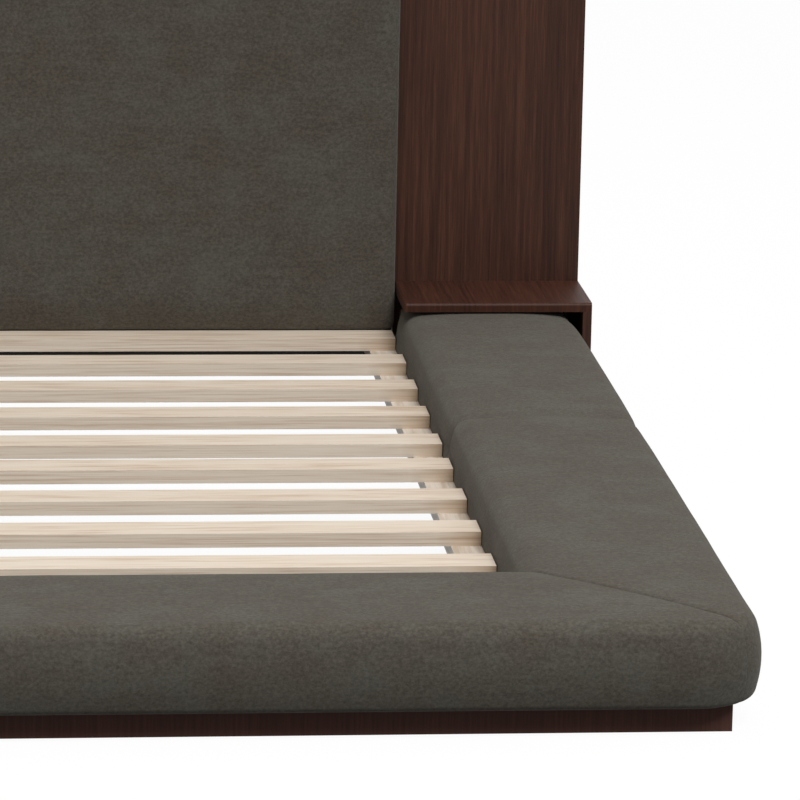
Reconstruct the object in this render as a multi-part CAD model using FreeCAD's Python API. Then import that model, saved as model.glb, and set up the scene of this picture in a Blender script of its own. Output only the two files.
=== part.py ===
import FreeCAD, Part

import math
import os

# Low floor bed: a king-size slatted base inside a wide upholstered surround on a recessed plinth,
# with a headboard of one padded panel between two veneered wings, and a bridge shelf on each wing.
# Millimetres. +Z is up, +Y points to the head end, +X to the right seen from the foot.
# The origin is on the floor, in the middle of the bed's length and width.
# Every piece on the right is made first, and its left twin is its mirror image.

V = FreeCAD.Vector

# Mattress well
MATTRESS_WIDTH = 1930.0
MATTRESS_LENGTH = 2032.0
MATTRESS_SIDE_GAP = 5.0
MATTRESS_END_GAP = 5.0

# Upholstered surround, in section: u runs outwards from the well, z up from the floor
RAIL_WIDTH = 365.0
CROWN_Z = 192.0
CROWN_RISE = 4.0
SHOULDER_RADIUS = 37.0
SHOULDER_TURN = 17.0
BULGE_Z = 106.0
BULGE_DEPTH = 8.5
LIP_GAP = 0.3
SKIRT_Z = 69.0
SKIRT_DRAW_IN = 5.5
HEM_DRAW_IN = 27.0
HEM_SAG = 6.0
PLAN_CORNER_RADIUS = 120.0
SEAM_GAP = 0.6
SEAM_DIP = 4.0
SEAM_ROLL = 14.0
SEAM_ROLL_STEPS = 3

# Timber core of the surround
CORE_INSET = 20.0
CORE_BOARD = 18.0
CORE_TOP_BOARD = 15.0
TOP_PADDING = 30.0
RIBS_PER_SECTION = 3
CORNER_RIB_GAP = 72.0

# Plinth under the surround
PLINTH_HEIGHT = 48.0
PLINTH_BOARD = 22.0
PLINTH_INSET = 53.0

# Slatted base
SLAT_TOP_Z = 124.0
SLAT_THICKNESS = 25.0
SLAT_WIDTH = 81.0
SLAT_END_GAP = 1.0
SLAT_MIDDLE_SHARE = 0.8425
SLATS_PER_HALF = 5
SLAT_FOOT_GAP = 10.0
SLAT_HEAD_REACH = 25.0
LEDGER_HEIGHT = 29.0
LEDGER_REACH = 53.0
BEAM_WIDTH = 40.0
BEAM_HEIGHT = 50.0
LEG_SIZE = 60.0
MIDDLE_LEG_LENGTH = 120.0
LEG_END_INSET = 90.0
LEG_PAD_RADIUS = 22.0
LEG_PAD_THICKNESS = 4.0

# Headboard
HEADBOARD_HEIGHT = 1060.0
WING_INNER_GAP = 6.0
WING_THICKNESS = 25.0
UPRIGHT_GAP = 3.0
CUSHION_THICKNESS = 82.6
CUSHION_EDGE_ROUND = 26.0
CUSHION_ROUND_STEPS = 4
CUSHION_CROWN = 5.0
CUSHION_CROWN_INSET = 160.0
CUSHION_CORNER_RADIUS = 30.0
CUSHION_SIDE_GAP = 0.8
CUSHION_BOTTOM_GAP = 1.0
PANEL_BOTTOM_Z = 52.0
PANEL_SIDE_GAP = 2.0
BATTEN_THICKNESS = 18.0
BATTEN_HEIGHT = 80.0
BATTEN_END_INSET = 150.0
BATTEN_LOWER_Z = 260.0
BATTEN_UPPER_Z = 850.0

# Bridge shelf on each wing
SHELF_DEPTH = 219.0
SHELF_BOARD = 18.0
SHELF_CLEARANCE = 4.0
SHELF_INNER_GAP = 1.5
SHELF_EDGE_ROUND = 6.0

# Fasteners
BOLT_RADIUS = 4.0
BOLT_HOLE_GAP = 0.25
BOLT_HEAD_RADIUS = 8.0
BOLT_HEAD_HEIGHT = 5.0
BOLT_HEAD_GAP = 1.0
BOLT_RECESS = 2.0
NUT_RADIUS = 7.0
NUT_HEIGHT = 7.0
BOLT_PAST_NUT = 4.0
BOLT_INSET = 80.0
BOLT_Z = 104.0
SCREW_RADIUS = 2.0
SCREW_HOLE_GAP = 0.2
SCREW_HEAD_RADIUS = 4.0
SCREW_HEAD_HEIGHT = 3.0
SLAT_SCREW_BITE = 13.0
BATTEN_SCREW_BITE = 15.0
BATTEN_SCREW_STEPS = 3
WING_SCREW_INSET = 60.0
PLATE_SCREW_BITE = 11.0
SHELF_SCREW_BITE = 30.0
SHELF_FIXING_INSET = 45.0
DOWEL_RADIUS = 4.0
DOWEL_IN_SHELF = 12.0
DOWEL_IN_SIDE = 20.0
CORNER_PLATE_THICKNESS = 3.0
CORNER_PLATE_WIDTH = 60.0
CORNER_PLATE_REACH = 50.0
PLATE_SCREW_INSET = 25.0

# Places that follow from the sizes
WELL_HALF = MATTRESS_WIDTH / 2 + MATTRESS_SIDE_GAP
WELL_LENGTH = MATTRESS_LENGTH + MATTRESS_END_GAP
RAIL_OUTER_X = WELL_HALF + RAIL_WIDTH
SHELF_SIDE_X = RAIL_OUTER_X + UPRIGHT_GAP
BED_HALF = SHELF_SIDE_X + SHELF_BOARD
WING_INNER_X = WELL_HALF + WING_INNER_GAP
HEADBOARD_DEPTH = CUSHION_THICKNESS + WING_THICKNESS + BATTEN_THICKNESS
BED_LENGTH = RAIL_WIDTH + WELL_LENGTH + HEADBOARD_DEPTH
BED_BACK_Y = BED_LENGTH / 2
WING_BACK_Y = BED_BACK_Y - BATTEN_THICKNESS
HEAD_Y = WING_BACK_Y - WING_THICKNESS
CUSHION_FACE_Y = HEAD_Y - CUSHION_THICKNESS
FOOT_Y = CUSHION_FACE_Y - WELL_LENGTH
CORE_OUTER = RAIL_WIDTH - PLINTH_INSET
CORE_TOP_Z = CROWN_Z - TOP_PADDING
CORE_BOARD_TOP_Z = CORE_TOP_Z - CORE_TOP_BOARD
SLAT_BOTTOM_Z = SLAT_TOP_Z - SLAT_THICKNESS
LIP_Z = SLAT_BOTTOM_Z + LIP_GAP
LEDGER_BOTTOM_Z = SLAT_BOTTOM_Z - LEDGER_HEIGHT
BEAM_BOTTOM_Z = SLAT_BOTTOM_Z - BEAM_HEIGHT
SHELF_BOTTOM_Z = CROWN_Z + SHELF_CLEARANCE
SHELF_TOP_Z = SHELF_BOTTOM_Z + SHELF_BOARD
SHELF_FRONT_Y = HEAD_Y - SHELF_DEPTH
SHELF_INNER_X = WING_INNER_X + SHELF_INNER_GAP
SLAT_RUN = WELL_LENGTH + SLAT_HEAD_REACH - SLAT_FOOT_GAP
SLAT_PITCH = (SLAT_RUN - SLAT_WIDTH) / (2 * (SLATS_PER_HALF - 1) + SLAT_MIDDLE_SHARE)
SLAT_MIDDLE_PITCH = SLAT_MIDDLE_SHARE * SLAT_PITCH
HALF_RUN = (SLATS_PER_HALF - 1) * SLAT_PITCH
SEAM_Y = FOOT_Y + SLAT_FOOT_GAP + SLAT_RUN / 2
FIRST_SLAT_Y = SEAM_Y + SLAT_MIDDLE_PITCH / 2 + HALF_RUN
LEDGER_SCREW_X = WELL_HALF - LEDGER_REACH / 2
BOLT_U = (CORE_INSET + BOLT_INSET, CORE_OUTER - BOLT_INSET)
CORNER_PLATE_U = (CORE_INSET + CORE_OUTER - CORNER_PLATE_WIDTH) / 2
ROUND_X = RAIL_OUTER_X - PLAN_CORNER_RADIUS
ROUND_Y = FOOT_Y - RAIL_WIDTH + PLAN_CORNER_RADIUS
CORNER_REACH = 2 * RAIL_WIDTH
BACKWARD = V(0, 1, 0)
FORWARD = V(0, -1, 0)
RIGHT = V(1, 0, 0)
UP = V(0, 0, 1)


def box(x0, x1, y0, y1, z0, z1):
    """A block between two corners."""
    return Part.makeBox(x1 - x0, y1 - y0, z1 - z0, V(x0, y0, z0))


def rod(radius, start, end):
    """A round bar from start to end."""
    along = end.sub(start)
    return Part.makeCylinder(radius, along.Length, start, along)


def mirrored(shape):
    """The left twin of a right-hand piece."""
    return shape.mirror(V(0, 0, 0), RIGHT)


def cut_all(shape, cutters):
    """A shape with every cutter taken off."""
    for cutter in cutters:
        shape = shape.cut(cutter)
    return shape


def export(name, *solids):
    """Writes one node, as one solid or as a group of separate ones."""
    shape = solids[0] if len(solids) == 1 else Part.makeCompound(list(solids))
    shape.exportStep(f"parts/{name}.step")
    print(f"{name}: {len(shape.Solids)} solid(s), {shape.Volume / 1e6:.3f} litres, valid {shape.isValid()}")


def export_pair(name, *solids):
    """Writes a right-hand node and its left twin, with the side's name in place of {side}."""
    export(name.format(side="right"), *solids)
    export(name.format(side="left"), *[mirrored(s) for s in solids])


# Padded section of the surround

def section_points(dip=0.0):
    """The named points of the padded section as (u, z), drawn in all round by dip."""
    turn = math.radians(SHOULDER_TURN)
    middle = RAIL_WIDTH / 2
    half = middle - dip
    crown_z = CROWN_Z - dip
    centre_u = half - BULGE_DEPTH - SHOULDER_RADIUS * math.cos(turn)
    centre_z = crown_z - CROWN_RISE - SHOULDER_RADIUS
    lean = 2 * math.atan2(CROWN_RISE, centre_u)

    def shoulder(angle):
        return (
            centre_u + SHOULDER_RADIUS * math.cos(angle),
            centre_z + SHOULDER_RADIUS * math.sin(angle),
        )

    top = shoulder(math.pi / 2 - lean)
    bend = shoulder((math.pi / 2 - lean + turn) / 2)
    low = shoulder(turn)
    skirt = (middle + half - SKIRT_DRAW_IN, SKIRT_Z)
    hem = (middle + half - HEM_DRAW_IN, PLINTH_HEIGHT)
    chord = math.hypot(skirt[0] - hem[0], skirt[1] - hem[1])
    out_u = (skirt[1] - hem[1]) / chord
    out_z = (hem[0] - skirt[0]) / chord
    lip_draw_in = BULGE_DEPTH * ((BULGE_Z - LIP_Z) / (low[1] - BULGE_Z)) ** 2
    hem_bend = ((skirt[0] + hem[0]) / 2 + HEM_SAG * out_u, (skirt[1] + hem[1]) / 2 + HEM_SAG * out_z)
    return {
        "lip": (dip + lip_draw_in, LIP_Z),
        "inner_bulge": (dip, BULGE_Z),
        "inner_low": (middle - low[0], low[1]),
        "inner_bend": (middle - bend[0], bend[1]),
        "inner_top": (middle - top[0], top[1]),
        "crown": (middle, crown_z),
        "outer_top": (middle + top[0], top[1]),
        "outer_bend": (middle + bend[0], bend[1]),
        "outer_low": (middle + low[0], low[1]),
        "bulge": (middle + half, BULGE_Z),
        "skirt": skirt,
        "hem_bend": hem_bend,
        "hem": hem,
    }


def crown_height(u):
    """How high the crown's arc is at u."""
    p = section_points()
    half = p["outer_top"][0] - p["crown"][0]
    rise = CROWN_Z - p["outer_top"][1]
    radius = (half * half + rise * rise) / (2 * rise)
    return CROWN_Z - radius + math.sqrt(radius * radius - (u - RAIL_WIDTH / 2) ** 2)


def arc(place, *three):
    """An arc through three points of a section."""
    return Part.Arc(*[place(*p) for p in three]).toShape()


def line(place, start, end):
    """A straight edge between two points of a section."""
    return Part.LineSegment(place(*start), place(*end)).toShape()


def outer_arcs(place, p):
    """The padded section's outer side, from the shoulder down to the hem."""
    return [
        arc(place, p["outer_top"], p["outer_bend"], p["outer_low"]),
        arc(place, p["outer_low"], p["bulge"], p["skirt"]),
        arc(place, p["skirt"], p["hem_bend"], p["hem"]),
    ]


def cushion_wire(place, dip):
    """The padded section: an outer contour that wraps the core's top and both its sides."""
    p = section_points(dip)
    edges = [
        arc(place, p["lip"], p["inner_bulge"], p["inner_low"]),
        arc(place, p["inner_low"], p["inner_bend"], p["inner_top"]),
        arc(place, p["inner_top"], p["crown"], p["outer_top"]),
    ]
    edges += outer_arcs(place, p)
    corners = [
        p["hem"],
        (CORE_OUTER, PLINTH_HEIGHT),
        (CORE_OUTER, CORE_TOP_Z),
        (CORE_INSET, CORE_TOP_Z),
        (CORE_INSET, LIP_Z),
        p["lip"],
    ]
    edges += [line(place, a, b) for a, b in zip(corners, corners[1:])]
    return Part.Wire(edges)


def side_place(y):
    """Puts a section point into the plane across the right-hand rail at y."""
    return lambda u, z: V(WELL_HALF + u, y, z)


def foot_place(x):
    """Puts a section point into the plane across the foot rail at x."""
    return lambda u, z: V(x, FOOT_Y - u, z)


def padded_length(place_at, seam, end):
    """A length of padded rail that rolls down to its butt seam at one end."""
    way = 1 if end > seam else -1
    wires = []
    for step in range(SEAM_ROLL_STEPS + 1):
        turn = step / SEAM_ROLL_STEPS * math.pi / 2
        at = seam + way * SEAM_ROLL * (1 - math.cos(turn))
        wires.append(cushion_wire(place_at(at), SEAM_DIP * (1 - math.sin(turn))))
    wires.append(cushion_wire(place_at(end), 0.0))
    return Part.makeLoft(wires, True, True)


# Mitred and rounded corner at the foot

def mitre_wedge(for_side, gap):
    """What the mitre takes off a side rail, or off the foot rail, so that the two meet at 45 degrees."""
    step = gap / 2 * math.sqrt(2)
    reach = CORNER_REACH
    if for_side:
        start = V(WELL_HALF - reach, FOOT_Y + reach + step, 0)
        square = V(-reach, -reach, 0)
    else:
        start = V(WELL_HALF - reach, FOOT_Y + reach - step, 0)
        square = V(reach, reach, 0)
    end = start.add(V(2 * reach, -2 * reach, 0))
    outline = Part.makePolygon([start, end, end.add(square), start.add(square), start])
    return Part.Face(outline).extrude(UP * (CROWN_Z + reach))


def corner_quadrant():
    """The block outside the centre of the rounded plan corner."""
    return box(ROUND_X, ROUND_X + CORNER_REACH, ROUND_Y - CORNER_REACH, ROUND_Y, 0, 2 * CROWN_Z)


def cushion_corner_cut():
    """What the rounded plan corner takes off the padding."""
    p = section_points()
    inner = RAIL_WIDTH - PLAN_CORNER_RADIUS

    def place(u, z):
        return V(ROUND_X + u - inner, ROUND_Y, z)

    between = (inner + p["outer_top"][0]) / 2
    start = (inner, crown_height(inner))
    below = (inner, PLINTH_HEIGHT)
    edges = [arc(place, start, (between, crown_height(between)), p["outer_top"])]
    edges += outer_arcs(place, p)
    edges += [line(place, p["hem"], below), line(place, below, start)]
    turned = Part.Face(Part.Wire(edges)).revolve(V(ROUND_X, ROUND_Y, 0), UP, 360)
    return corner_quadrant().cut(turned)


def core_corner_cut():
    """What the rounded plan corner takes off the core's top boards."""
    radius = CORE_OUTER - (RAIL_WIDTH - PLAN_CORNER_RADIUS)
    return corner_quadrant().cut(rod(radius, V(ROUND_X, ROUND_Y, 0), V(ROUND_X, ROUND_Y, 2 * CROWN_Z)))


# Rails

def side_board(y0, y1, u0, u1, z0, z1):
    """A block along the right-hand rail."""
    return box(WELL_HALF + u0, WELL_HALF + u1, y0, y1, z0, z1)


def foot_board(x0, x1, u0, u1, z0, z1):
    """A block along the foot rail."""
    return box(x0, x1, FOOT_Y - u1, FOOT_Y - u0, z0, z1)


def core_boards(board, start, end):
    """The inner, the outer and the top board of a core."""
    z0, z1 = PLINTH_HEIGHT, CORE_BOARD_TOP_Z
    inner = board(start, end, CORE_INSET, CORE_INSET + CORE_BOARD, z0, z1)
    outer = board(start, end, CORE_OUTER - CORE_BOARD, CORE_OUTER, z0, z1)
    top = board(start, end, CORE_INSET, CORE_OUTER, z1, CORE_TOP_Z)
    return inner, outer, top


def core_ribs(board, start, end, holes):
    """The cross ribs of a core, evenly spaced with one at each end, with their bolt holes."""
    step = (end - CORE_BOARD - start) / (RIBS_PER_SECTION - 1)
    u0, u1 = CORE_INSET + CORE_BOARD, CORE_OUTER - CORE_BOARD
    places = [start + i * step for i in range(RIBS_PER_SECTION)]
    ribs = [board(s, s + CORE_BOARD, u0, u1, PLINTH_HEIGHT, CORE_BOARD_TOP_Z) for s in places]
    return [cut_all(rib, holes) for rib in ribs]


def make_rail_cushions():
    """The padding of the side rails and of the foot rail."""
    half_gap = SEAM_GAP / 2
    rear = padded_length(side_place, SEAM_Y + half_gap, CUSHION_FACE_Y - SEAM_GAP)
    front = padded_length(side_place, SEAM_Y - half_gap, FOOT_Y - RAIL_WIDTH - SEAM_ROLL)
    foot = padded_length(foot_place, half_gap, RAIL_OUTER_X + SEAM_ROLL)
    rounding = cushion_corner_cut()
    export_pair("rail_cushion_{side}_rear", rear)
    export_pair("rail_cushion_{side}_front", front.cut(mitre_wedge(True, SEAM_GAP)).cut(rounding))
    export_pair("rail_cushion_foot_{side}", foot.cut(mitre_wedge(False, SEAM_GAP)).cut(rounding))


def make_rail_cores():
    """The timber cores: two long boards under a top board, with ribs that are bolted at the butt joints."""
    reach = CORE_BOARD * 2
    side_holes = [bolt_hole(p, BACKWARD, reach) for p in seam_bolts() + head_bolts()]
    foot_holes = [bolt_hole(p, RIGHT, reach) for p in middle_bolts()]
    plate_holes = [pilot_hole(*s) for s in plate_screws()]
    rounding = core_corner_cut()

    boards = core_boards(side_board, SEAM_Y, HEAD_Y)
    export_pair("rail_core_{side}_rear", *boards, *core_ribs(side_board, SEAM_Y, HEAD_Y, side_holes))

    mitre = mitre_wedge(True, 0.0)
    inner, outer, top = core_boards(side_board, FOOT_Y - CORE_OUTER, SEAM_Y)
    inner = inner.cut(mitre)
    outer = outer.common(box(0, BED_HALF, ROUND_Y, SEAM_Y, 0, CROWN_Z))
    top = cut_all(top, [mitre, rounding] + plate_holes)
    ribs = core_ribs(side_board, FOOT_Y + CORNER_RIB_GAP, SEAM_Y, side_holes)
    export_pair("rail_core_{side}_front", inner, outer, top, *ribs)

    mitre = mitre_wedge(False, 0.0)
    inner, outer, top = core_boards(foot_board, 0, WELL_HALF + CORE_OUTER)
    inner = inner.cut(mitre)
    outer = outer.common(box(0, ROUND_X, FOOT_Y - RAIL_WIDTH, FOOT_Y, 0, CROWN_Z))
    top = cut_all(top, [mitre, rounding] + plate_holes)
    ribs = core_ribs(foot_board, 0, WELL_HALF - CORNER_RIB_GAP, foot_holes)
    export_pair("rail_core_foot_{side}", inner, outer, top, *ribs)


def make_plinth():
    """The veneered plinth boards, and the runners under the cores' inner boards."""
    plinth = (CORE_OUTER - PLINTH_BOARD, CORE_OUTER, 0, PLINTH_HEIGHT)
    runner = (CORE_INSET, CORE_INSET + CORE_BOARD, 0, PLINTH_HEIGHT)
    behind_foot_plinth = FOOT_Y - CORE_OUTER + PLINTH_BOARD
    behind_foot_runner = FOOT_Y - CORE_INSET - CORE_BOARD
    export_pair("plinth_{side}_rear", side_board(SEAM_Y, HEAD_Y, *plinth))
    export_pair("plinth_{side}_front", side_board(behind_foot_plinth, SEAM_Y, *plinth))
    export_pair("plinth_foot_{side}", foot_board(0, WELL_HALF + CORE_OUTER, *plinth))
    export_pair("runner_{side}_rear", side_board(SEAM_Y, HEAD_Y, *runner))
    export_pair("runner_{side}_front", side_board(behind_foot_runner, SEAM_Y, *runner))
    export_pair("runner_foot_{side}", foot_board(0, WELL_HALF + CORE_INSET, *runner))


# Fasteners

def bolt_hole(point, along, reach):
    """The clearance hole for a bolt, from a point both ways."""
    return rod(BOLT_RADIUS + BOLT_HOLE_GAP, point.sub(along * reach), point.add(along * reach))


def bolt_and_nut(seat, along, grip):
    """A round-headed bolt from the face under its head, and the nut on the far side of its grip."""
    nut_start = seat.add(along * grip)
    nut_end = nut_start.add(along * NUT_HEIGHT)
    head = rod(BOLT_HEAD_RADIUS, seat.sub(along * BOLT_HEAD_HEIGHT), seat)
    shank = rod(BOLT_RADIUS, seat, nut_end.add(along * BOLT_PAST_NUT))
    nut = rod(NUT_RADIUS, nut_start, nut_end).cut(rod(BOLT_RADIUS, nut_start, nut_end))
    return [head.fuse(shank).removeSplitter(), nut]


def screw(head_face, along, length):
    """A flat-headed screw, from the outer face of its head."""
    under_head = head_face.add(along * SCREW_HEAD_HEIGHT)
    head = rod(SCREW_HEAD_RADIUS, head_face, under_head)
    return head.fuse(rod(SCREW_RADIUS, under_head, head_face.add(along * length))).removeSplitter()


def screw_hole(head_face, along, length):
    """The sunk clearance hole in the piece that a screw holds."""
    sink = rod(SCREW_HEAD_RADIUS + SCREW_HOLE_GAP, head_face, head_face.add(along * SCREW_HEAD_HEIGHT))
    return sink.fuse(rod(SCREW_RADIUS + SCREW_HOLE_GAP, head_face, head_face.add(along * length)))


def pilot_hole(head_face, along, length):
    """The hole that a screw's thread fills."""
    return rod(SCREW_RADIUS, head_face, head_face.add(along * length))


def seam_bolts():
    """Where the bolts of a side rail's butt joint cross its seam."""
    return [V(WELL_HALF + u, SEAM_Y, BOLT_Z) for u in BOLT_U]


def head_bolts():
    """Where the bolts that hold a side rail to its wing cross the wing's front."""
    return [V(WELL_HALF + u, HEAD_Y, BOLT_Z) for u in BOLT_U]


def middle_bolts():
    """Where the bolts of the foot rail's butt joint cross the middle of the bed."""
    return [V(0, FOOT_Y - u, BOLT_Z) for u in BOLT_U]


def plate_screws():
    """Head face, direction and length of each screw through a corner plate into the top boards."""
    z = CORE_BOARD_TOP_Z - CORNER_PLATE_THICKNESS - SCREW_HEAD_HEIGHT
    length = CORE_BOARD_TOP_Z - z + PLATE_SCREW_BITE
    across = CORNER_PLATE_U + CORNER_PLATE_WIDTH / 2
    ends = (CORNER_PLATE_REACH - PLATE_SCREW_INSET, PLATE_SCREW_INSET - CORNER_PLATE_U)
    side = [V(WELL_HALF + across, FOOT_Y + e, z) for e in ends]
    foot = [V(WELL_HALF - e, FOOT_Y - across, z) for e in ends]
    return [(p, UP, length) for p in side + foot]


def slat_screws():
    """Head face, direction and length of each screw up through the right-hand ledger into a slat."""
    length = LEDGER_HEIGHT + SLAT_SCREW_BITE
    return [(V(LEDGER_SCREW_X, y, LEDGER_BOTTOM_Z), UP, length) for y in slat_centres()]


def batten_screws():
    """Head face, direction and length of each screw through a batten, in the middle and on the right."""
    length = BATTEN_THICKNESS + BATTEN_SCREW_BITE
    panel_reach = WING_INNER_X - WING_SCREW_INSET
    xs = [i * panel_reach / BATTEN_SCREW_STEPS for i in range(BATTEN_SCREW_STEPS + 1)]
    xs += [WING_INNER_X + WING_SCREW_INSET, BED_HALF - BATTEN_END_INSET - WING_SCREW_INSET]
    heights = [z + BATTEN_HEIGHT / 2 for z in (BATTEN_LOWER_Z, BATTEN_UPPER_Z)]
    return [(V(x, BED_BACK_Y, z), FORWARD, length) for z in heights for x in xs]


def shelf_screws():
    """Head face, direction and length of each screw through a wing into its shelf and the shelf's upright."""
    length = WING_THICKNESS + SHELF_SCREW_BITE
    shelf_z = (SHELF_BOTTOM_Z + SHELF_TOP_Z) / 2
    upright_x = (SHELF_SIDE_X + BED_HALF) / 2
    xs = (
        SHELF_INNER_X + SHELF_FIXING_INSET,
        (SHELF_INNER_X + BED_HALF) / 2,
        BED_HALF - SHELF_FIXING_INSET,
    )
    points = [V(x, WING_BACK_Y, shelf_z) for x in xs]
    points += [V(upright_x, WING_BACK_Y, z) for z in (SHELF_FIXING_INSET, SHELF_BOTTOM_Z - SHELF_FIXING_INSET)]
    return [(p, FORWARD, length) for p in points]


def make_fasteners():
    """Corner plates, wood screws, bolts and nuts."""
    start = CORNER_PLATE_U
    end = CORNER_PLATE_U + CORNER_PLATE_WIDTH
    z0 = CORE_BOARD_TOP_Z - CORNER_PLATE_THICKNESS
    side_arm = side_board(FOOT_Y - end, FOOT_Y + CORNER_PLATE_REACH, start, end, z0, CORE_BOARD_TOP_Z)
    foot_arm = foot_board(WELL_HALF - CORNER_PLATE_REACH, WELL_HALF + end, start, end, z0, CORE_BOARD_TOP_Z)
    gap = SCREW_RADIUS + SCREW_HOLE_GAP
    plate = side_arm.fuse(foot_arm).removeSplitter()
    plate = cut_all(plate, [rod(gap, p, p.add(d * n)) for p, d, n in plate_screws()])
    export("corner_plates", plate, mirrored(plate))

    right = [screw(*s) for s in slat_screws() + plate_screws()]
    export("wood_screws", *right, *[mirrored(s) for s in right])

    joints = []
    for p in seam_bolts():
        pair = bolt_and_nut(p.add(BACKWARD * CORE_BOARD), FORWARD, CORE_BOARD * 2)
        joints += pair + [mirrored(s) for s in pair]
    for p in middle_bolts():
        joints += bolt_and_nut(p.add(RIGHT * CORE_BOARD), RIGHT * -1, CORE_BOARD * 2)
    export("rail_joint_bolts", *joints)

    seat = WING_THICKNESS - BOLT_HEAD_HEIGHT - BOLT_RECESS
    head = []
    for p in head_bolts():
        pair = bolt_and_nut(p.add(BACKWARD * seat), FORWARD, seat + CORE_BOARD)
        head += pair + [mirrored(s) for s in pair]
    export("headboard_bolts", *head)


# Slatted base

def slat_centres():
    """The middle of each slat along the bed, from the head."""
    rear = [FIRST_SLAT_Y - i * SLAT_PITCH for i in range(SLATS_PER_HALF)]
    front = [y - HALF_RUN - SLAT_MIDDLE_PITCH for y in rear]
    return rear + front


def make_slatted_base():
    """The slats on their ledgers, and the centre beam in two lengths on legs with pads."""
    half = WELL_HALF - SLAT_END_GAP
    for number, (y, place) in enumerate(zip(slat_centres(), slat_screws()), 1):
        slat = box(-half, half, y - SLAT_WIDTH / 2, y + SLAT_WIDTH / 2, SLAT_BOTTOM_Z, SLAT_TOP_Z)
        pilot = pilot_hole(*place)
        export(f"slat_{number:02d}", cut_all(slat, [pilot, mirrored(pilot)]))

    holes = [screw_hole(*s) for s in slat_screws()]
    lengths = {"rear": (SEAM_Y, HEAD_Y), "front": (FOOT_Y - CORE_INSET, SEAM_Y)}
    for part, (y0, y1) in lengths.items():
        ledger = side_board(y0, y1, -LEDGER_REACH, CORE_INSET, LEDGER_BOTTOM_Z, SLAT_BOTTOM_Z)
        export_pair("slat_ledger_{side}_" + part, cut_all(ledger, holes))
        beam = box(-BEAM_WIDTH / 2, BEAM_WIDTH / 2, y0, y1, BEAM_BOTTOM_Z, SLAT_BOTTOM_Z)
        export(f"centre_beam_{part}", beam)

    head_leg = HEAD_Y - LEG_END_INSET
    foot_leg = FOOT_Y + LEG_END_INSET
    places = [head_leg, (head_leg + SEAM_Y) / 2, SEAM_Y, (foot_leg + SEAM_Y) / 2, foot_leg]
    legs = []
    pads = []
    for y in places:
        reach = (MIDDLE_LEG_LENGTH if y == SEAM_Y else LEG_SIZE) / 2
        legs.append(box(-LEG_SIZE / 2, LEG_SIZE / 2, y - reach, y + reach, LEG_PAD_THICKNESS, BEAM_BOTTOM_Z))
        pads.append(rod(LEG_PAD_RADIUS, V(0, y, 0), V(0, y, LEG_PAD_THICKNESS)))
    export("centre_legs", *legs)
    export("leg_pads", *pads)


# Headboard

def panel_outline(y, inset):
    """The padded panel's outline at y, drawn in by inset, with round upper corners and a flat bottom."""
    half = WING_INNER_X - CUSHION_SIDE_GAP - inset
    low = SLAT_TOP_Z + CUSHION_BOTTOM_GAP
    high = HEADBOARD_HEIGHT - inset
    r = CUSHION_CORNER_RADIUS
    d = r * (1 - math.sqrt(0.5))

    def place(x, z):
        return V(x, y, z)

    return Part.Wire([
        line(place, (r - half, high), (half - r, high)),
        arc(place, (half - r, high), (half - d, high - d), (half, high - r)),
        line(place, (half, high - r), (half, low)),
        line(place, (half, low), (-half, low)),
        line(place, (-half, low), (-half, high - r)),
        arc(place, (-half, high - r), (d - half, high - d), (r - half, high)),
    ])


def make_headboard():
    """The veneered wings, the padded panel on its board, and the two battens that tie them behind."""
    recess = BOLT_HEAD_HEIGHT + BOLT_RECESS
    wing = box(WING_INNER_X, BED_HALF, HEAD_Y, WING_BACK_Y, 0, HEADBOARD_HEIGHT)
    wing = cut_all(wing, [bolt_hole(p, BACKWARD, WING_THICKNESS) for p in head_bolts()])
    sinks = [V(p.x, WING_BACK_Y, p.z) for p in head_bolts()]
    wing = cut_all(wing, [rod(BOLT_HEAD_RADIUS + BOLT_HEAD_GAP, p.sub(BACKWARD * recess), p) for p in sinks])
    wing = cut_all(wing, [screw_hole(*s) for s in shelf_screws()])
    pilots = [pilot_hole(*s) for s in batten_screws()]
    export_pair("headboard_wing_{side}", cut_all(wing, pilots))

    half = WING_INNER_X - PANEL_SIDE_GAP
    board = box(-half, half, HEAD_Y, WING_BACK_Y, PANEL_BOTTOM_Z, HEADBOARD_HEIGHT)
    export("headboard_centre_board", cut_all(board, pilots + [mirrored(h) for h in pilots]))

    wires = [panel_outline(HEAD_Y, 0.0)]
    for step in range(CUSHION_ROUND_STEPS + 1):
        turn = step / CUSHION_ROUND_STEPS * math.pi / 2
        inset = CUSHION_EDGE_ROUND * (1 - math.cos(turn))
        depth = CUSHION_CROWN + CUSHION_EDGE_ROUND * (1 - math.sin(turn))
        wires.append(panel_outline(CUSHION_FACE_Y + depth, inset))
    wires.append(panel_outline(CUSHION_FACE_Y, CUSHION_CROWN_INSET))
    export("headboard_cushion", Part.makeLoft(wires, True, True))

    reach = BED_HALF - BATTEN_END_INSET
    holes = [screw_hole(*s) for s in batten_screws()]
    holes += [mirrored(h) for h in holes]
    for part, z in (("lower", BATTEN_LOWER_Z), ("upper", BATTEN_UPPER_Z)):
        batten = box(-reach, reach, WING_BACK_Y, BED_BACK_Y, z, z + BATTEN_HEIGHT)
        export(f"back_batten_{part}", cut_all(batten, holes))
    right = [screw(*s) for s in batten_screws()]
    twins = [mirrored(made) for made, s in zip(right, batten_screws()) if s[0].x > 0]
    export("batten_screws", *right, *twins)


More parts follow.
